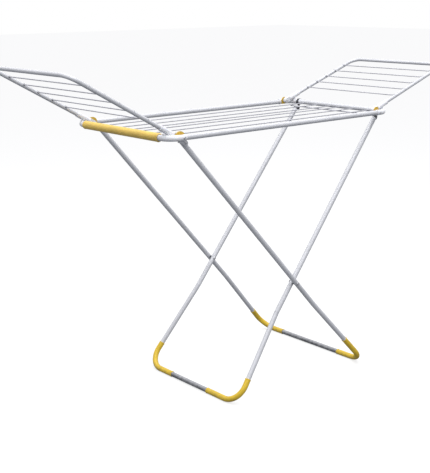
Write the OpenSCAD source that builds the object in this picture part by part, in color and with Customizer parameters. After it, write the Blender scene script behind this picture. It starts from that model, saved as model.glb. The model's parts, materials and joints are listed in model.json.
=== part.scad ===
/* [Rack] */
// Length of the rack, centre to centre of its two end tubes
rack_len = 1063; // [1050:1:1080]
// Width of the rack, centre to centre of its two side rails
rack_wid = 525; // [523:1:529]
// Height of the rack's rail centres above the floor
rack_h = 992; // [985:1:1000]
// Outer diameter of the rack and leg tubes
tube_d = 18; // [17:0.5:18]
// Wall thickness of the rack and leg tubes
tube_wall = 1; // [0.8:0.1:1.2]
// Diameter of the hanging wires
wire_d = 4; // [3:0.5:4]
// Drop of the rack's wires below the rail centres
wire_drop = 3; // [2:0.5:4]
// Distance of the inner pair of rack wires from the centre line
wire_y1 = 25; // [22:1:30]
// Distance of the middle pair of rack wires from the centre line
wire_y2 = 94; // [85:1:100]
// Distance of the outer pair of rack wires from the centre line
wire_y3 = 172; // [165:1:178]
// Distance of each cross tie inside its end tube
tie_inset = 78; // [70:1:100]

/* [Grip] */
// Outer diameter of the grip on the left end tube
grip_d = 28.5; // [27:0.5:30]
// Length of the grip
grip_len = 424; // [380:1:426]
// Bend radius of the corner elbows, at the centre of the tube
elbow_r = 45; // [43:1:46]

/* [Legs] */
// Distance of the outer leg's rack pivot inside the left end tube
outer_top_inset = 77.2; // [76:0.2:79]
// Drop of the outer leg's rack pivot below the rail centres
outer_top_drop = 22; // [21.5:0.5:23]
// Distance of the outer foot bar from the rack's centre
outer_foot_x = 410.5; // [400:0.5:420]
// Distance of the inner leg's tip inside the right end tube
inner_top_inset = 14.6; // [14:0.2:16]
// Drop of the inner leg's tip below the rail centres
inner_top_drop = 24; // [23.5:0.5:26]
// Distance of the inner foot bar from the rack's centre
inner_foot_x = 243.5; // [235:0.5:250]
// Half the outer leg's width at its top
outer_y_top = 233.3; // [233:0.1:234]
// Half the outer leg's width at its joint
outer_y_joint = 249; // [248:0.5:250]
// Half the outer leg's width at its foot corners
outer_y_foot = 287; // [284:1:290]
// Half the inner leg's width at its top
inner_y_top = 212; // [211:0.5:212.5]
// Half the inner leg's width at its joint
inner_y_joint = 225; // [224:0.5:225.5]
// Half the inner leg's width at its foot corners
inner_y_foot = 261.5; // [260:0.5:263]
// Height of the tube joints in the legs above the floor
joint_h = 295; // [285:1:305]
// Bend radius of the foot corners, at the tube's centre
foot_bend_r = 65; // [60:1:70]

/* [Feet] */
// Outer diameter of the foot sleeves
foot_d = 21; // [20.5:0.5:22]
// Height of the foot bars' centres above the floor
foot_h = 10; // [9.8:0.1:10.2]
// Length of the inner foot sleeves up the leg, from the sharp corner
inner_sleeve_up = 98; // [90:1:120]
// Length of the far inner foot sleeve along the foot bar
inner_sleeve_bar = 150; // [100:1:160]
// Length of the far outer foot sleeve up the leg, from the sharp corner
outer_sleeve_up = 118; // [90:1:150]
// Length of the far outer foot sleeve along the foot bar
outer_sleeve_bar = 122; // [100:1:160]
// How much longer the near outer foot sleeve is, up the leg
near_extra_up = 36; // [0:1:40]
// How much longer the near foot sleeves are along the foot bars
near_extra_bar = 16; // [0:1:20]

/* [Wings] */
// Angle of the left wing above level at rest, in degrees
wing_rise_left = 28.8; // [26:0.2:30]
// Angle of the right wing above level at rest, in degrees
wing_rise_right = 19.4; // [18:0.2:21]
// Length of a wing from its hinge to its end tube's centre
wing_len = 448.5; // [440:0.5:452]
// Width of a wing, centre to centre of its arms
wing_wid = 472; // [471:0.5:473]
// Outer diameter of the wing tube
wing_d = 14; // [13:0.5:14]
// Bend radius of the wing's corners
wing_bend_r = 40; // [35:1:45]
// Distance of the first wing wire from the hinge
wing_wire_start = 132; // [125:1:140]
// Pitch of the wing wires
wing_pitch = 60; // [56:1:62]
// Distance of each wing hinge inside its end tube
hinge_inset = 50; // [49:0.5:51]

/* [Hidden] */
$fn = 48;

// Finishes
epoxy = [0.80, 0.80, 0.84];
steel = [0.62, 0.63, 0.65];
white = [0.93, 0.93, 0.95];
yellow = [0.90, 0.70, 0.16];
dark = [0.16, 0.16, 0.18];

tr = tube_d / 2;
ti = tr - tube_wall;
wr = wire_d / 2;
gr = wing_d / 2;
gi = gr - 0.8;
er = tr + 1;          // outer radius of the corner elbows
rib_r = tr + 4.5;     // radius of the rib that a wing rests on
clear = 0.3;

// The rack's centre is shifted along X so that the open rack's box is centred on the origin.
hl_z = rack_h - 0.8;  // left hinge height
hr_z = rack_h + 7.2;  // right hinge height
x0 = -((rack_len/2 - hinge_inset + wing_len*cos(wing_rise_right))
     - (rack_len/2 - hinge_inset + wing_len*cos(wing_rise_left))) / 2;
xL = -rack_len/2 + x0;
xR = rack_len/2 + x0;
ry = rack_wid/2;

// Outer leg: from its rack pivot down to the right
bx = xL + outer_top_inset;
bz = rack_h - outer_top_drop;
bfx = outer_foot_x + x0;
b_ang = atan2(bz - foot_h, bfx - bx);
b_len = norm([bz - foot_h, bfx - bx]);
b_joint = (bz - joint_h) / sin(b_ang);

// Inner leg: from its tip down to the left
ax = xR - inner_top_inset;
az = rack_h - inner_top_drop;
afx = -inner_foot_x + x0;
a_ang = atan2(az - foot_h, ax - afx);
a_len = norm([az - foot_h, ax - afx]);
a_joint = (az - joint_h) / sin(a_ang);

// Scissor pivot: where the two leg planes cross
function cross2(a, b) = a[0]*b[1] - a[1]*b[0];
bd = [cos(b_ang), -sin(b_ang)];
ad = [-cos(a_ang), -sin(a_ang)];
b_piv = cross2([ax - bx, az - bz], ad) / cross2(bd, ad);
a_piv = cross2([bx - ax, bz - az], bd) / cross2(ad, bd);
px = bx + b_piv*bd[0];
pz = bz + b_piv*bd[1];
b_py = outer_y_top + (outer_y_joint - outer_y_top)*b_piv/b_joint;
a_py = inner_y_top + (inner_y_joint - inner_y_top)*a_piv/a_joint;

pin_r = 3;
run = 0.05;

// ---------- shared shapes ----------
module rod_x(r, a, b) translate([a, 0, 0]) rotate([0, 90, 0]) cylinder(r = r, h = b - a);
module rod_y(r, a, b) translate([0, a, 0]) rotate([-90, 0, 0]) cylinder(r = r, h = b - a);
module pipe_x(ro, ri, a, b) difference() { rod_x(ro, a, b); rod_x(ri, a - 1, b + 1); }
module pipe_y(ro, ri, a, b) difference() { rod_y(ro, a, b); rod_y(ri, a - 1, b + 1); }
module bend(rc, ro, ri, deg) rotate_extrude(angle = deg) translate([rc, 0]) difference() { circle(r = ro); circle(r = ri); }
module side(far) mirror([0, far ? 0 : 1, 0]) children();

// Leg planes: local X runs down the leg, local Y across
module in_outer() translate([bx, 0, bz]) rotate([0, b_ang, 0]) children();
module in_inner() translate([ax, 0, az]) rotate([0, 180 - a_ang, 0]) children();

// Straight upper tube of a leg, on the +Y side of its plane
module leg_tube(y0, y1, u0, u1) {
    s = atan2(y1 - y0, u1);
    translate([0, y0, 0]) rotate([0, 0, s]) pipe_x(tr, ti, u0, u1/cos(s) - 0.8);
}

// Bent tube round one foot corner, on the +Y side: leg part, bend and half the foot bar.
// A thin bead covers each tangent line.
module corner_tube(yj, yf, uj, uf, ro, ri, bead, up_len, bar_len) {
    dl = atan2(yf - yj, uf - uj);
    t = foot_bend_r * tan((90 + dl)/2);
    translate([uf - foot_bend_r, yf - t, 0]) {
        rotate([0, 0, dl]) translate([0, foot_bend_r, 0]) {
            pipe_x(ro, ri, t - up_len, -0.3);
            pipe_x(ro + bead, ri - bead, -1, 1);
        }
        rotate([0, 0, 0.4]) bend(foot_bend_r, ro, ri, 90 + dl - 0.8);
        translate([foot_bend_r, 0, 0]) {
            pipe_y(ro, ri, t - bar_len, -0.3);
            pipe_y(ro + bead, ri - bead, -1, 1);
        }
    }
}

// Lower half of a bent leg frame, on the +Y side, with its swaged spigot
module foot_half(yt, yj, yf, uj, uf) {
    up = atan2(yj - yt, uj);
    dl = atan2(yf - yj, uf - uj);
    l = (uf - uj)/cos(dl);
    corner_tube(yj, yf, uj, uf, tr, ti, 0.05, l - 0.6, yf - 0.3);
    translate([uj, yj, 0]) {
        rotate([0, 0, dl]) rod_x(ti + 0.6, 0.2, 4);
        rotate([0, 0, up]) rod_x(ti - 0.05, -30, 2);
    }
}

// Moulded sleeve round one foot corner, on the +Y side
module sleeve_half(yj, yf, uj, uf, up_len, bar_len)
    corner_tube(yj, yf, uj, uf, foot_d/2, tr + 0.12, 0.04, up_len, bar_len);
module above_floor() difference() { children(); translate([-1000, -1000, -100]) cube([2000, 2000, 100]); }

// ---------- rack ----------
module end_tube_left() color(epoxy)
    translate([xL, 0, rack_h]) difference() {
        pipe_y(tr, ti, -ry + 46.5, ry - 46.5);
        for (y = [-wire_y3, -wire_y2, -wire_y1, wire_y1, wire_y2, wire_y3])
            translate([0, y, -wire_drop]) rod_x(wr, 0, tr + 1);
    }
module end_tube_right() color(epoxy)
    translate([xR, 0, rack_h]) difference() {
        pipe_y(tr, ti, -ry + 46.5, ry - 46.5);
        for (y = [-wire_y3, -wire_y2, -wire_y1, wire_y1, wire_y2, wire_y3])
            translate([0, y, -wire_drop]) rod_x(wr, -tr - 1, 0);
    }
module side_rail(far) color(epoxy)
    side(far) translate([0, ry, rack_h]) difference() {
        pipe_x(tr, ti, xL + 46.5, xR - 46.5);
        for (x = [xL + 54, xR - 54]) translate([x, 0, 0]) rod_y(2.5, -tr - 1, tr + 1);
    }
module side_rail_near() side_rail(false);
module side_rail_far() side_rail(true);

// Moulded corner elbow: side arm to 65, end arm to 66, with the pad that the wing rests on
module elbow(right, far) color(white)
    side(far) translate([right ? xR : xL, ry, rack_h]) mirror([right ? 1 : 0, 0, 0]) difference() {
        union() {
            rod_x(er, elbow_r, 65);
            rod_y(er, -66, -elbow_r);
            translate([elbow_r, -elbow_r, 0]) rotate([0, 0, 90]) rotate_extrude(angle = 90) translate([elbow_r, 0]) circle(r = er);
            intersection() {
                rod_y(rib_r, -34, -25);
                translate([-2, -40, 2]) cube([15, 20, 15]);
            }
            rod_x(er + 1, 61, 65);
            rod_y(er + 1, -66, -62.5);
        }
        rod_x(tr, 46.5, 66);
        rod_y(tr, -67, -46.5);
        translate([54, 0, 0]) rod_y(2.5, -er - 2, er + 2);
    }
module elbow_left_near() elbow(false, false);
module elbow_left_far() elbow(false, true);
module elbow_right_near() elbow(true, false);
module elbow_right_far() elbow(true, true);

module carry_grip() color(yellow)
    translate([xL, 0, rack_h]) difference() {
        union() {
            rod_y(grip_d/2, -grip_len/2 + 3, grip_len/2 - 3);
            for (s = [-1, 1]) scale([1, s, 1]) rotate([-90, 0, 0]) translate([0, 0, grip_len/2 - 3])
                cylinder(r1 = grip_d/2, r2 = grip_d/2 - 2, h = 3);
        }
        rod_y(tr, -grip_len, grip_len);
        for (f = [false, true]) side(f) rod_y(er + 1.3, ry - 67, ry - 40);
        for (y = [-wire_y3, -wire_y2, -wire_y1, wire_y1, wire_y2, wire_y3])
            translate([0, y, -wire_drop]) rod_x(wr + 0.4, 0, grip_d);
    }

module line_wire(y) color(epoxy) translate([0, y, rack_h - wire_drop]) rod_x(wr, xL + 2, xR - 2);
module line_wire_1() line_wire(-wire_y3);
module line_wire_2() line_wire(-wire_y2);
module line_wire_3() line_wire(-wire_y1);
module line_wire_4() line_wire(wire_y1);
module line_wire_5() line_wire(wire_y2);
module line_wire_6() line_wire(wire_y3);

module cross_tie(x) color(epoxy)
    translate([x, 0, rack_h - wire_drop - wr - 2.5]) rod_y(2.5, -wire_y3 - 8, wire_y3 + 8);
module cross_tie_left() cross_tie(xL + tie_inset);
module cross_tie_right() cross_tie(xR - tie_inset);

// Bracket on the left: domed cheek for the wing hinge, seated on the elbow
module bracket_left(far) color(yellow) side(far)
    difference() {
        union() {
            translate([xL + hinge_inset + 4, 0, hl_z]) rod_y(20, ry - 16.5, ry - 13);
            translate([xL + 45.2, ry - 16.5, rack_h - 7.9]) cube([14.8, 12, 15.9]);
        }
        translate([0, ry, rack_h]) rod_x(er, xL + 20, xL + 90);
        translate([xL + 20, ry - 20, rack_h - 40]) cube([70, 20, 32.5]);
        translate([xL + hinge_inset, 0, hl_z]) rod_y(2.5, ry - 20, ry - 12);
        translate([xL + 54, 0, rack_h]) rod_y(2.5, ry - 11.6, ry);
    }
module bracket_left_near() bracket_left(false);
module bracket_left_far() bracket_left(true);

// Plate under each left elbow that carries the outer leg's pin
module leg_plate(far) color(epoxy) side(far) {
    d = outer_top_inset - 55;
    h = outer_top_drop - 12;
    difference() {
        union() {
            translate([bx, 0, bz]) rod_y(8.5, ry - 16.5, ry - 13);
            translate([xL + 55, ry - 16.5, rack_h - 12]) rotate([0, atan2(h, d), 0])
                translate([0, 0, -6.5]) cube([norm([d, h]), 3.5, 13]);
            translate([xL + 46, ry - 16.5, rack_h - 17]) cube([14, 12, 10]);
        }
        translate([0, ry, rack_h]) rod_x(er, xL + 20, xL + 90);
        translate([xL + 20, ry - 20, rack_h - 8.2]) cube([70, 20, 30]);
        translate([bx, 0, bz]) rod_y(pin_r, ry - 20, ry);
    }
}
module leg_plate_near() leg_plate(false);
module leg_plate_far() leg_plate(true);

// Bracket on the right: wing hinge and seat
module bracket_right(far) color(yellow) side(far)
    difference() {
        union() {
            translate([xR - hinge_inset, 0, hr_z]) rod_y(13, ry - 16.5, ry - 13);
            translate([xR - 60, ry - 16.5, rack_h - 8]) cube([14.8, 12, 16]);
        }
        translate([0, ry, rack_h]) rod_x(er, xR - 90, xR - 20);
        translate([xR - hinge_inset, 0, hr_z]) rod_y(2.5, ry - 20, ry - 12);
        translate([xR - 54, 0, rack_h]) rod_y(2.5, ry - 11.6, ry);
    }
module bracket_right_near() bracket_right(false);
module bracket_right_far() bracket_right(true);

module bracket_rivets() color(steel)
    for (f = [false, true], x = [xL + 54, xR - 54]) side(f) translate([x, 0, rack_h]) {
        rod_y(2.5, ry - 11.6, ry + er);
        translate([0, ry + er, 0]) rotate([-90, 0, 0]) cylinder(r1 = 5, r2 = 3.5, h = 1.6);
    }

module wing_pin() {
    rod_y(2.5, wing_wid/2 - 7 - clear, ry - 13);
    translate([0, wing_wid/2 - 7 - clear, 0]) rotate([90, 0, 0]) cylinder(r1 = 5, r2 = 3.5, h = 1.8);
}
module wing_pins_left() color(steel) for (f = [false, true]) side(f) translate([xL + hinge_inset, 0, hl_z]) wing_pin();
module wing_pins_right() color(steel) for (f = [false, true]) side(f) translate([xR - hinge_inset, 0, hr_z]) wing_pin();

module leg_pins() color(steel) for (f = [false, true]) side(f) translate([bx, 0, bz]) {
    rod_y(pin_r, outer_y_top - tr - clear, ry - 13);
    translate([0, outer_y_top - tr - clear, 0]) rotate([90, 0, 0]) cylinder(r1 = 6, r2 = 4.5, h = 2);
    translate([0, ry - 13, 0]) rotate([-90, 0, 0]) cylinder(r1 = 6, r2 = 4.5, h = 2);
}

// Hook clipped on the right end tube, its lip curling under the inner leg's tip
module leg_hook(far) color(dark) side(far) {
    y0 = inner_y_top - 8;
    w = 10;
    r1 = tr + 1.5;
    r2 = r1 + 3.5;
    difference() {
        union() {
            translate([xR, 0, rack_h]) rod_y(tr + 3.5, y0, y0 + w);
            translate([ax + r1 + 0.3, y0, az - 2]) cube([r2 - r1 - 0.6, w, inner_top_drop - tr + 1]);
            translate([ax, y0 + w, az]) rotate([90, 0, 0]) rotate([0, 0, -60]) rotate_extrude(angle = 60)
                translate([r1, 0]) square([r2 - r1, w]);
        }
        translate([xR, 0, rack_h]) rod_y(er, y0 - 1, y0 + w + 1);
    }
}
module leg_hook_near() leg_hook(false);
module leg_hook_far() leg_hook(true);

// ---------- outer leg ----------
module outer_leg(far) color(epoxy) difference() {
    in_outer() side(far) leg_tube(outer_y_top, outer_y_joint, -8, b_joint);
    side(far) translate([bx, 0, bz]) rod_y(pin_r + run, 200, 280);
    side(far) translate([px, 0, pz]) rod_y(pin_r, 200, 280);
}
module outer_leg_near() outer_leg(false);
module outer_leg_far() outer_leg(true);

module outer_foot_frame() color(epoxy)
    in_outer() {
        for (f = [false, true]) side(f) foot_half(outer_y_top, outer_y_joint, outer_y_foot, b_joint, b_len);
        translate([b_len, 0, 0]) pipe_y(tr + 0.05, ti - 0.05, -1, 1);
    }

module outer_foot(far) color(yellow) above_floor()
    in_outer() side(far) sleeve_half(outer_y_joint, outer_y_foot, b_joint, b_len,
        outer_sleeve_up + (far ? 0 : near_extra_up), outer_sleeve_bar + (far ? 0 : near_extra_bar));
module outer_foot_near() outer_foot(false);
module outer_foot_far() outer_foot(true);

module outer_leg_plugs() color(dark) in_outer() for (f = [false, true]) side(f)
    translate([0, outer_y_top, 0]) rotate([0, 0, atan2(outer_y_joint - outer_y_top, b_joint)]) {
        rod_x(ti, -8, -3.6);
        translate([-8, 0, 0]) rotate([0, -90, 0]) cylinder(r1 = tr, r2 = tr - 1.5, h = 2.5);
    }

module scissor_rivets() color(steel) for (f = [false, true]) side(f) translate([px, 0, pz]) {
    rod_y(pin_r, a_py - tr - clear, b_py + tr + 0.15);
    translate([0, a_py - tr - clear, 0]) rotate([90, 0, 0]) cylinder(r1 = 6.5, r2 = 4.5, h = 2.2);
    translate([0, b_py + tr + 0.15, 0]) rotate([-90, 0, 0]) cylinder(r1 = 6.5, r2 = 4.5, h = 2.2);
}
module scissor_spacers() color(dark) for (f = [false, true]) side(f) translate([px, 0, pz])
    difference() {
        rod_y(7, a_py + tr + clear, b_py - tr - 0.15);
        rod_y(pin_r, 200, 280);
    }

// ---------- inner leg ----------
module inner_leg(far) color(epoxy) difference() {
    in_inner() side(far) leg_tube(inner_y_top, inner_y_joint, 4.4, a_joint);
    side(far) translate([px, 0, pz]) rod_y(pin_r + run, 200, 280);
}
module inner_leg_near() inner_leg(false);
module inner_leg_far() inner_leg(true);

module inner_foot_frame() color(epoxy)
    in_inner() {
        for (f = [false, true]) side(f) foot_half(inner_y_top, inner_y_joint, inner_y_foot, a_joint, a_len);
        translate([a_len, 0, 0]) pipe_y(tr + 0.05, ti - 0.05, -1, 1);
    }

module inner_foot(far) color(yellow) above_floor()
    in_inner() side(far) sleeve_half(inner_y_joint, inner_y_foot, a_joint, a_len,
        inner_sleeve_up, inner_sleeve_bar + (far ? 0 : near_extra_bar));
module inner_foot_near() inner_foot(false);
module inner_foot_far() inner_foot(true);

module inner_leg_caps() color(dark) in_inner() for (f = [false, true]) side(f)
    translate([0, inner_y_top, 0]) rotate([0, 0, atan2(inner_y_joint - inner_y_top, a_joint)]) {
        rod_x(ti, 0, 14);
        rod_x(tr, 0, 4.2);
        sphere(r = tr);
    }

// ---------- wings ----------
// A wing in its own plane: hinge axis at the origin, arms along +X
module wing_frame() color(epoxy) difference() {
    for (f = [false, true]) side(f) {
        translate([0, wing_wid/2, 0]) pipe_x(gr, gi, 24, wing_len - wing_bend_r);
        translate([wing_len - wing_bend_r, wing_wid/2 - wing_bend_r, 0]) bend(wing_bend_r, gr, gi, 90);
        translate([wing_len, 0, 0]) pipe_y(gr, gi, 0, wing_wid/2 - wing_bend_r);
    }
    for (k = [0:4], f = [false, true]) side(f)
        translate([wing_wire_start + k*wing_pitch, 0, 3]) rod_y(wr, wing_wid/2 - 12, wing_wid/2 + 12);
}
module wing_shoe(far) color(white) side(far) difference() {
    union() {
        rod_y(9.5, wing_wid/2 - 7, wing_wid/2 + 7);
        translate([0, wing_wid/2 - 7, -9.5]) cube([20, 14, 19]);
        translate([0, wing_wid/2, 0]) rod_x(9.5, 19, 76);
    }
    rod_y(2.5 + run, wing_wid/2 - 12, wing_wid/2 + 12);
    translate([0, wing_wid/2, 0]) rod_x(gr, 24, 77);
}
module wing_wire(k) color(epoxy)
    translate([wing_wire_start + k*wing_pitch, 0, 3]) rod_y(wr, -wing_wid/2 - 5.5, wing_wid/2 + 5.5);

module at_left() translate([xL + hinge_inset, 0, hl_z]) mirror([1, 0, 0]) rotate([0, -wing_rise_left, 0]) children();
module at_right() translate([xR - hinge_inset, 0, hr_z]) rotate([0, -wing_rise_right, 0]) children();

module wing_frame_left() at_left() wing_frame();
module wing_shoe_left_near() at_left() wing_shoe(false);
module wing_shoe_left_far() at_left() wing_shoe(true);
module wing_wire_left_1() at_left() wing_wire(0);
module wing_wire_left_2() at_left() wing_wire(1);
module wing_wire_left_3() at_left() wing_wire(2);
module wing_wire_left_4() at_left() wing_wire(3);
module wing_wire_left_5() at_left() wing_wire(4);
module wing_frame_right() at_right() wing_frame();
module wing_shoe_right_near() at_right() wing_shoe(false);
module wing_shoe_right_far() at_right() wing_shoe(true);
module wing_wire_right_1() at_right() wing_wire(0);
module wing_wire_right_2() at_right() wing_wire(1);
module wing_wire_right_3() at_right() wing_wire(2);
module wing_wire_right_4() at_right() wing_wire(3);
module wing_wire_right_5() at_right() wing_wire(4);

end_tube_left();
end_tube_right();
side_rail_near();
side_rail_far();
elbow_left_near();
elbow_left_far();
elbow_right_near();
elbow_right_far();
carry_grip();
line_wire_1();
line_wire_2();
line_wire_3();
line_wire_4();
line_wire_5();
line_wire_6();
cross_tie_left();
cross_tie_right();
bracket_left_near();
bracket_left_far();
leg_plate_near();
leg_plate_far();
bracket_right_near();
bracket_right_far();
bracket_rivets();
wing_pins_left();
wing_pins_right();
leg_pins();
leg_hook_near();
leg_hook_far();
outer_leg_near();
outer_leg_far();
outer_foot_frame();
outer_foot_near();
outer_foot_far();
outer_leg_plugs();
scissor_rivets();
scissor_spacers();
inner_leg_near();
inner_leg_far();
inner_foot_frame();
inner_foot_near();
inner_foot_far();
inner_leg_caps();
wing_frame_left();
wing_shoe_left_near();
wing_shoe_left_far();
wing_wire_left_1();
wing_wire_left_2();
wing_wire_left_3();
wing_wire_left_4();
wing_wire_left_5();
wing_frame_right();
wing_shoe_right_near();
wing_shoe_right_far();
wing_wire_right_1();
wing_wire_right_2();
wing_wire_right_3();
wing_wire_right_4();
wing_wire_right_5();
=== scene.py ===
import json
import math

import bmesh
import bpy
from mathutils import Matrix, Quaternion, Vector, noise


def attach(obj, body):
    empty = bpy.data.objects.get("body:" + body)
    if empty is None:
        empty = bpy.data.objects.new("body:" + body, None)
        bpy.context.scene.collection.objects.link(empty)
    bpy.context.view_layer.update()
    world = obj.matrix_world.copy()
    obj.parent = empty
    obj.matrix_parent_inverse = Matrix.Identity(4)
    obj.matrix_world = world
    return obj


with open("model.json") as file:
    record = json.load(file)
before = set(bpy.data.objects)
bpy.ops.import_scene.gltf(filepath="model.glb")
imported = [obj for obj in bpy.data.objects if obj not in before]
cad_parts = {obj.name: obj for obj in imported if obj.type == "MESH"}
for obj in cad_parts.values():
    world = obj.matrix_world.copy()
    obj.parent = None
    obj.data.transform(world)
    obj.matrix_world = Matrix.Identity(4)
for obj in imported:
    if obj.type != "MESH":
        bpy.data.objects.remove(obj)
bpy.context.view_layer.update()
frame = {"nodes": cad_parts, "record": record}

NODES = frame["nodes"]
D = bpy.data
scene = bpy.context.scene

# ---------------------------------------------------------------- dimensions, in metres, as in the CAD source
S = 0.001
RACK_L, RACK_W, RACK_H = 1063 * S, 525 * S, 992 * S
TR = 9 * S
WR = 2.0 * S
DROP = 3 * S
WY = [-172 * S, -94 * S, -25 * S, 25 * S, 94 * S, 172 * S]
TIE = 78 * S
HINGE = 50 * S
WING_L, WING_W, WING_R = 448.5 * S, 472 * S, 7 * S
RISE_L, RISE_R = math.radians(28.8), math.radians(19.4)
X0 = -((RACK_L / 2 - HINGE + WING_L * math.cos(RISE_R)) - (RACK_L / 2 - HINGE + WING_L * math.cos(RISE_L))) / 2
XL, XR = -RACK_L / 2 + X0, RACK_L / 2 + X0
RY = RACK_W / 2


# ---------------------------------------------------------------- materials
def new_mat(name):
    m = D.materials.new(name)
    m.use_nodes = True
    nt = m.node_tree
    b = next(n for n in nt.nodes if n.type == "BSDF_PRINCIPLED")
    return m, nt, b


def node(nt, kind, **kw):
    n = nt.nodes.new(kind)
    for k, v in kw.items():
        if k in n.inputs:
            n.inputs[k].default_value = v
        else:
            setattr(n, k, v)
    return n


def coords(nt, stretch=(1, 1, 1)):
    tc = node(nt, "ShaderNodeTexCoord")
    mp = node(nt, "ShaderNodeMapping")
    mp.inputs["Scale"].default_value = stretch
    nt.links.new(tc.outputs["Object"], mp.inputs["Vector"])
    return mp.outputs["Vector"]


def noise_tex(nt, vec, scale, detail=3, rough=0.5):
    n = node(nt, "ShaderNodeTexNoise")
    n.inputs["Scale"].default_value = scale
    n.inputs["Detail"].default_value = detail
    n.inputs["Roughness"].default_value = rough
    nt.links.new(vec, n.inputs["Vector"])
    return n.outputs["Fac"]


def ramp(nt, fac, stops):
    r = node(nt, "ShaderNodeValToRGB")
    e = r.color_ramp.elements
    while len(e) > 1:
        e.remove(e[0])
    e[0].position, e[0].color = stops[0][0], (*stops[0][1], 1)
    for p, c in stops[1:]:
        k = e.new(p)
        k.color = (*c, 1)
    nt.links.new(fac, r.inputs["Fac"])
    return r.outputs["Color"]


def remap(nt, fac, lo, hi, a=0.3, b=0.7):
    m = node(nt, "ShaderNodeMapRange")
    m.inputs["From Min"].default_value = a
    m.inputs["From Max"].default_value = b
    m.inputs["To Min"].default_value = lo
    m.inputs["To Max"].default_value = hi
    nt.links.new(fac, m.inputs["Value"])
    return m.outputs["Result"]


def mix(nt, fac, a, b, kind="MIX"):
    m = node(nt, "ShaderNodeMix", data_type="RGBA", blend_type=kind)
    for value, socket in ((fac, m.inputs[0]), (a, m.inputs[6]), (b, m.inputs[7])):
        if isinstance(value, bpy.types.NodeSocket):
            nt.links.new(value, socket)
        elif isinstance(value, (int, float)):
            socket.default_value = value
        else:
            socket.default_value = (*value, 1)
    return m.outputs[2]


def bump(nt, bsdf, layers):
    """layers is a list of (height socket, strength, distance in metres)."""
    last = None
    for h, strength, dist in layers:
        b = node(nt, "ShaderNodeBump")
        b.inputs["Strength"].default_value = strength
        b.inputs["Distance"].default_value = dist
        nt.links.new(h, b.inputs["Height"])
        if last is not None:
            nt.links.new(last, b.inputs["Normal"])
        last = b.outputs["Normal"]
    nt.links.new(last, bsdf.inputs["Normal"])


def shade(c, k):
    return tuple(min(1.0, x * k) for x in c)


def epoxy(name, base, rough=0.36, metallic=0.35, coat=0.35, floor_shade_height=None):
    """Silver-grey powder coat: orange peel, faint flake, dull patches and a few dark scuffs; given a height, it also
    paints near-black shade in patches below that height above the floor.
    """
    m, nt, b = new_mat(name)
    v = coords(nt)
    cloud = noise_tex(nt, v, 9, 4, 0.55)
    flake = noise_tex(nt, v, 2600, 2, 0.6)
    peel = noise_tex(nt, v, 520, 3, 0.5)
    fine = noise_tex(nt, v, 1500, 2, 0.5)
    body = ramp(nt, cloud, [(0.30, shade(base, 0.93)), (0.55, base), (0.75, shade(base, 1.05))])
    body = mix(nt, remap(nt, flake, 0.0, 0.05, 0.52, 0.75), body, shade(base, 1.25))
    scuff_v = coords(nt, (1.0, 1.0, 1.0))
    scuff = noise_tex(nt, scuff_v, 34, 8, 0.72)
    mask = remap(nt, scuff, 0.0, 0.45, 0.66, 0.80)
    body = mix(nt, mask, body, shade(base, 0.55))
    # Painted shade: near-black patches on the coat, fading out up to the given height above the floor, stand in for
    # the floor's occlusion shade on the lowest tubes.
    if floor_shade_height is not None:
        tc = node(nt, "ShaderNodeTexCoord")
        sep = node(nt, "ShaderNodeSeparateXYZ")
        nt.links.new(tc.outputs["Object"], sep.inputs["Vector"])
        near = remap(nt, sep.outputs["Z"], 0.96, 0.0, 0.012, floor_shade_height)
        floor_shade_patches = remap(nt, noise_tex(nt, v, 60, 6, 0.7), 0.72, 1.0, 0.38, 0.60)
        mul = node(nt, "ShaderNodeMath", operation="MULTIPLY")
        nt.links.new(near, mul.inputs[0])
        nt.links.new(floor_shade_patches, mul.inputs[1])
        body = mix(nt, mul.outputs[0], body, (0.075, 0.078, 0.085))
    nt.links.new(body, b.inputs["Base Color"])
    nt.links.new(remap(nt, noise_tex(nt, v, 40, 5, 0.6), rough - 0.07, rough + 0.10), b.inputs["Roughness"])
    b.inputs["Metallic"].default_value = metallic
    b.inputs["Coat Weight"].default_value = coat
    b.inputs["Coat Roughness"].default_value = 0.22
    bump(nt, b, [(peel, 0.05, 0.00020), (fine, 0.03, 0.00006)])
    return m


def plastic(name, base, rough=0.42, dirt=(0.30, 0.26, 0.20), low=None, scuff_amount=0.35, grain=1400, sss=0.0):
    """Moulded polypropylene: fine spark texture, flow marks, scuffs, and for feet a grimy band near the floor."""
    m, nt, b = new_mat(name)
    v = coords(nt)
    flow = noise_tex(nt, coords(nt, (1, 1, 2.2)), 14, 4, 0.5)
    body = ramp(nt, flow, [(0.28, shade(base, 0.90)), (0.52, base), (0.78, shade(base, 1.06))])
    rub = noise_tex(nt, v, 70, 9, 0.74)
    body = mix(nt, remap(nt, rub, 0.0, scuff_amount, 0.60, 0.78), body, tuple(0.55 * x + 0.30 * y for x, y in zip(base, dirt)))
    if low is not None:
        tc = node(nt, "ShaderNodeTexCoord")
        sep = node(nt, "ShaderNodeSeparateXYZ")
        nt.links.new(tc.outputs["Object"], sep.inputs["Vector"])
        near = remap(nt, sep.outputs["Z"], 1.0, 0.0, 0.0, low)
        patch = remap(nt, noise_tex(nt, v, 55, 6, 0.7), 0.0, 0.85, 0.40, 0.68)
        mul = node(nt, "ShaderNodeMath", operation="MULTIPLY")
        nt.links.new(near, mul.inputs[0])
        nt.links.new(patch, mul.inputs[1])
        body = mix(nt, mul.outputs[0], body, dirt)
    nt.links.new(body, b.inputs["Base Color"])
    nt.links.new(remap(nt, rub, rough - 0.06, rough + 0.22, 0.35, 0.75), b.inputs["Roughness"])
    b.inputs["Specular IOR Level"].default_value = 0.45
    if sss:
        b.inputs["Subsurface Weight"].default_value = sss
        b.inputs["Subsurface Radius"].default_value = (0.004, 0.002, 0.001)
    bump(nt, b, [(noise_tex(nt, v, grain, 2, 0.5), 0.16, 0.00020), (rub, 0.12, 0.00025)])
    return m


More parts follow.
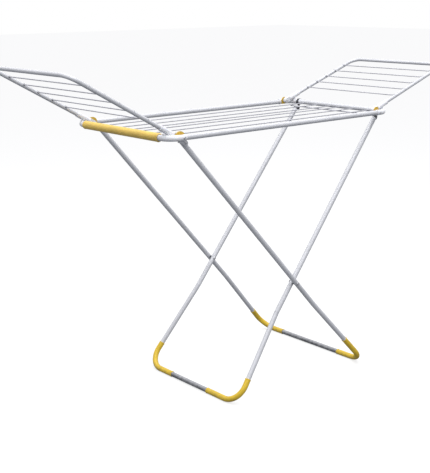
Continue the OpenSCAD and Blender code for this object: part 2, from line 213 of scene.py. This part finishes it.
def steel(name, base=(0.46, 0.46, 0.48)):
    """Zinc-plated rivet: turned marks, a dull oxide and darker rings."""
    m, nt, b = new_mat(name)
    v = coords(nt)
    ox = noise_tex(nt, v, 260, 5, 0.65)
    nt.links.new(ramp(nt, ox, [(0.30, shade(base, 0.62)), (0.55, base), (0.75, shade(base, 1.3))]), b.inputs["Base Color"])
    nt.links.new(remap(nt, ox, 0.26, 0.52), b.inputs["Roughness"])
    b.inputs["Metallic"].default_value = 0.6
    bump(nt, b, [(noise_tex(nt, coords(nt, (1, 6, 1)), 900, 3, 0.5), 0.25, 0.00015)])
    return m


M = {
    # coated_tube's last argument is the height of its painted shade near the floor.
    "coated_tube": epoxy("coated_tube", (0.655, 0.66, 0.69), 0.50, 0.12, 0.10, 0.030),
    "coated_wire": epoxy("coated_wire", (0.52, 0.52, 0.56), 0.42, 0.12, 0.20),
    "fitting_white": plastic("fitting_white", (0.80, 0.80, 0.83), 0.44, (0.42, 0.40, 0.37), None, 0.22, 1500, 0.05),
    "bracket_yellow": plastic("bracket_yellow", (0.62, 0.41, 0.05), 0.40, (0.30, 0.22, 0.06), None, 0.35),
    "grip_yellow": plastic("grip_yellow", (0.80, 0.555, 0.12), 0.36, (0.34, 0.24, 0.08), None, 0.40, 1700, 0.04),
    "foot_yellow": plastic("foot_yellow", (0.73, 0.50, 0.035), 0.40, (0.17, 0.14, 0.08), 0.030, 0.45),
    "rivet_steel": steel("rivet_steel", (0.62, 0.62, 0.64)),
    "hook_dark": plastic("hook_dark", (0.060, 0.062, 0.070), 0.44, (0.16, 0.16, 0.16), None, 0.5, 1500),
    "weld_seam": epoxy("weld_seam", (0.36, 0.365, 0.39), 0.50, 0.12, 0.10),
}

slot_of = {s["node"]: s["material_slot"] for s in frame["record"]["subparts"]}
LEGS = ("outer_leg_near", "outer_leg_far", "outer_foot_frame", "inner_leg_near", "inner_leg_far", "inner_foot_frame")
for name, o in NODES.items():
    mat = M[slot_of[name]]
    if o.material_slots:
        for s in o.material_slots:
            s.material = mat
    else:
        o.data.materials.append(mat)


# ---------------------------------------------------------------- mesh helpers
def obj_from(name, bm, mat, body, smooth=True):
    me = D.meshes.new(name)
    bmesh.ops.recalc_face_normals(bm, faces=bm.faces)
    bm.to_mesh(me)
    bm.free()
    if smooth:
        me.shade_smooth()
    me.materials.append(mat)
    o = D.objects.new(name, me)
    scene.collection.objects.link(o)
    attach(o, body)
    return o


def frame_at(origin, axis):
    q = Vector((0, 0, 1)).rotation_difference(Vector(axis).normalized())
    return Matrix.Translation(Vector(origin)) @ q.to_matrix().to_4x4()


def lathe(bm, origin, axis, profile, seg=24, jitter=0.0, seed=0.0):
    """A closed ring swept about axis: profile is a list of (radius, along)."""
    M4 = frame_at(origin, axis)
    rings = []
    for k in range(seg):
        a = 2 * math.pi * k / seg
        ring = []
        for i, (r, z) in enumerate(profile):
            j = 1.0
            if jitter:
                j += jitter * noise.noise(Vector((math.cos(a) * 1.7 + seed, math.sin(a) * 1.7 + i * 0.6, seed * 3.1)))
            ring.append(bm.verts.new(M4 @ Vector((r * j * math.cos(a), r * j * math.sin(a), z))))
        rings.append(ring)
    n = len(profile)
    for k in range(seg):
        a, b = rings[k], rings[(k + 1) % seg]
        for i in range(n):
            j = (i + 1) % n
            bm.faces.new((a[i], a[j], b[j], b[i]))


def bead_profile(inner, height, width, n=10):
    """A closed half-round profile standing on a cylinder of radius inner."""
    pts = [(inner - 0.25 * S, -width / 2)]
    for i in range(n + 1):
        t = math.pi * i / n
        pts.append((inner + height * math.sin(t), -width / 2 * math.cos(t)))
    pts.append((inner - 0.25 * S, width / 2))
    return pts


# ---------------------------------------------------------------- weld beads, lips and mould lines
def wing_point(side, d, y, up=0.0):
    """A point in the row frame on a wing: d along the arm from the hinge, up above the arms' plane."""
    sg, rise = (-1, RISE_L) if side == "left" else (1, RISE_R)
    hx, hz = (XL + HINGE, RACK_H - 0.8 * S) if side == "left" else (XR - HINGE, RACK_H + 7.2 * S)
    return Vector((hx + sg * (d * math.cos(rise) - up * math.sin(rise)), y, hz + d * math.sin(rise) + up * math.cos(rise)))


for side in ("left", "right"):
    bm = bmesh.new()
    for k in range(5):
        for sy in (-1, 1):
            p = wing_point(side, (132 + 60 * k) * S, sy * 229.2 * S, 3 * S)
            lathe(bm, p, (0, sy, 0), bead_profile(WR + 0.15 * S, 2.0 * S, 4.6 * S), 22, 0.10, 3.7 * k + sy)
            q = wing_point(side, (132 + 60 * k) * S, sy * 236.0 * S, 6.35 * S)
            n = wing_point(side, (132 + 60 * k) * S, sy * 236.0 * S, 9.0 * S) - q
            lathe(bm, q, n, [(0.02 * S, -0.8 * S), (3.1 * S, -0.8 * S), (3.0 * S, 0.1 * S), (2.3 * S, 1.0 * S), (1.2 * S, 1.5 * S), (0.02 * S, 1.6 * S)], 18, 0.10, 1.3 * k)
    obj_from("weld_beads_wing_" + side, bm, M["weld_seam"], "wing_" + side)

bm = bmesh.new()
for i, y in enumerate(WY):
    z = RACK_H - DROP
    lathe(bm, (XR - 9.2 * S, y, z), (1, 0, 0), bead_profile(WR + 0.15 * S, 1.7 * S, 4.0 * S), 22, 0.10, 5.1 * i)
    for x in (XL + TIE, XR - TIE):
        lathe(bm, (x, y, z - 1.1 * S), (1, 0, 0), [(0.03 * S, -4.2 * S), (1.5 * S, -3.9 * S), (2.6 * S, -2.6 * S), (3.0 * S, 0.0), (2.6 * S, 2.6 * S), (1.5 * S, 3.9 * S), (0.03 * S, 4.2 * S)], 18, 0.12, 2.9 * i + x)
obj_from("weld_beads_rack", bm, M["weld_seam"], "rack")

# Leg geometry, as in the CAD source
BX, BZ = XL + 77.2 * S, RACK_H - 22 * S
BFX, FH = 410.5 * S + X0, 10 * S
AX, AZ = XR - 14.6 * S, RACK_H - 24 * S
AFX = -243.5 * S + X0
JH = 295 * S


def leg(top, foot, y_joint, y_foot):
    """Leg line in its plane: unit direction down the leg, its length, and where the joint is."""
    d = Vector((foot[0] - top[0], 0, foot[1] - top[1]))
    n = d.normalized()
    uj = (top[1] - JH) / -n.z
    return n, d.length, uj


for body, top, foot, yj, yf, up_len, bar_len in (
    ("outer_leg", (BX, BZ), (BFX, FH), 249 * S, 287 * S, (154 * S, 118 * S), (138 * S, 122 * S)),
    ("inner_leg", (AX, AZ), (AFX, FH), 225 * S, 261.5 * S, (98 * S, 98 * S), (166 * S, 150 * S)),
):
    n, length, uj = leg(top, foot, yj, yf)
    corner = Vector((foot[0], 0, foot[1]))
    joint = Vector((top[0], 0, top[1])) + n * uj
    bm = bmesh.new()
    for sy in (-1, 1):
        c = Vector((corner.x, sy * yf, corner.z))
        j = Vector((joint.x, sy * yj, joint.z))
        up_dir = (j - c).normalized()
        prof = bead_profile(10.45 * S, 0.75 * S, 3.4 * S, 8)
        far = 1 if sy > 0 else 0
        lathe(bm, c + up_dir * (up_len[far] - 1.9 * S), up_dir, prof, 40)
        lathe(bm, Vector((c.x, sy * (yf - bar_len[far] + 1.9 * S), c.z)), (0, 1, 0), prof, 40)
    for v in bm.verts:
        v.co.z = max(v.co.z, 0.0)
    obj_from("sleeve_lips_" + body.split("_")[0], bm, M["foot_yellow"], body)

# Grip: rolled rims and two fine mould lines
bm = bmesh.new()
for sy in (-1, 1):
    lathe(bm, (XL, sy * 207.0 * S, RACK_H), (0, 1, 0), bead_profile(14.2 * S, 0.55 * S, 3.0 * S, 8), 48)
for a in (math.radians(8), math.radians(188)):
    r0, r1, hw = 14.15 * S, 14.48 * S, 0.45 * S
    ca, sa = math.cos(a), math.sin(a)
    rows = []
    for k in range(43):
        y = (-205 + 410 * k / 42) * S
        row = []
        for r, w_ in ((r0, -hw), (r1, -hw * 0.45), (r1, hw * 0.45), (r0, hw)):
            row.append(bm.verts.new((XL + r * ca - w_ * sa, y, RACK_H + r * sa + w_ * ca)))
        rows.append(row)
    for u, v in zip(rows, rows[1:]):
        for i in range(4):
            j = (i + 1) % 4
            bm.faces.new((u[i], u[j], v[j], v[i]))
    bm.faces.new(list(reversed(rows[0])))
    bm.faces.new(rows[-1])
obj_from("grip_rims", bm, M["grip_yellow"], "rack")


# ---------------------------------------------------------------- stage, camera and light
def area(name, loc, target, size, power, colour=(1, 1, 1)):
    d = D.lights.new(name, "AREA")
    d.shape = "RECTANGLE"
    d.size, d.size_y = size
    d.energy = power
    d.color = colour
    o = D.objects.new(name, d)
    scene.collection.objects.link(o)
    o.location = loc
    o.rotation_mode = "QUATERNION"
    o.rotation_quaternion = (Vector(target) - Vector(loc)).to_track_quat("-Z", "Y")
    return o


bm = bmesh.new()
bmesh.ops.create_grid(bm, x_segments=2, y_segments=2, size=30)
me = D.meshes.new("floor")
bm.to_mesh(me)
bm.free()
floor = D.objects.new("floor", me)
floor.location = (0, 0, -0.0002)
scene.collection.objects.link(floor)
fm, fnt, fb = new_mat("studio_floor")
fb.inputs["Base Color"].default_value = (0.30, 0.30, 0.30, 1)
fb.inputs["Roughness"].default_value = 0.9
fb.inputs["Specular IOR Level"].default_value = 0.0
fb.inputs["Emission Color"].default_value = (1, 1, 1, 1)
fb.inputs["Emission Strength"].default_value = 0.71
me.materials.append(fm)
floor.visible_diffuse = False
floor.visible_glossy = False

# A soft dome: bright above, dim below, so that undersides fall off as they do under a ceiling light box.
w = D.worlds.new("studio") if scene.world is None else scene.world
scene.world = w
w.use_nodes = True
wt = w.node_tree
bg = next(n for n in wt.nodes if n.type == "BACKGROUND")
wtc = node(wt, "ShaderNodeTexCoord")
wsep = node(wt, "ShaderNodeSeparateXYZ")
wt.links.new(wtc.outputs["Generated"], wsep.inputs["Vector"])
wr_ = ramp(wt, remap(wt, wsep.outputs["Z"], 0.0, 1.0, -1.0, 1.0),
           [(0.0, (0.18, 0.19, 0.21)), (0.42, (0.27, 0.285, 0.31)), (0.53, (0.55, 0.565, 0.59)), (0.80, (0.86, 0.86, 0.89))])
lp = node(wt, "ShaderNodeLightPath")
wt.links.new(mix(wt, lp.outputs["Is Camera Ray"], wr_, (1.0, 1.0, 1.0)), bg.inputs["Color"])
bg.inputs["Strength"].default_value = 1.0

area("key", (-1.2, -2.2, 4.0), (0, 0, 0.6), (2.6, 2.6), 60)
area("top", (0.3, 0.4, 4.4), (0, 0, 0.6), (4.0, 3.0), 95)

scene.view_settings.view_transform = "Standard"
scene.view_settings.look = "None"

yaw, pitch, roll = math.radians(49.2173), math.radians(14.3454), math.radians(-0.3498)
fwd = Vector((math.cos(yaw) * math.cos(pitch), math.sin(yaw) * math.cos(pitch), -math.sin(pitch)))
right = Vector((math.sin(yaw), -math.cos(yaw), 0))
up = right.cross(fwd)
r2 = right * math.cos(roll) + up * math.sin(roll)
u2 = -right * math.sin(roll) + up * math.cos(roll)
cd = D.cameras.new("camera")
cam = D.objects.new("camera", cd)
scene.collection.objects.link(cam)
rot = Matrix((r2, u2, -fwd)).transposed().to_4x4()
cam.matrix_world = Matrix.Translation(Vector((-2.3655, -2.5864, 1.4321))) @ rot
cd.sensor_fit = "AUTO"
cd.sensor_width = 36
cd.lens = 948.99 / 473 * 36
cd.clip_start, cd.clip_end = 0.05, 200
cd.dof.use_dof = False
scene.camera = cam
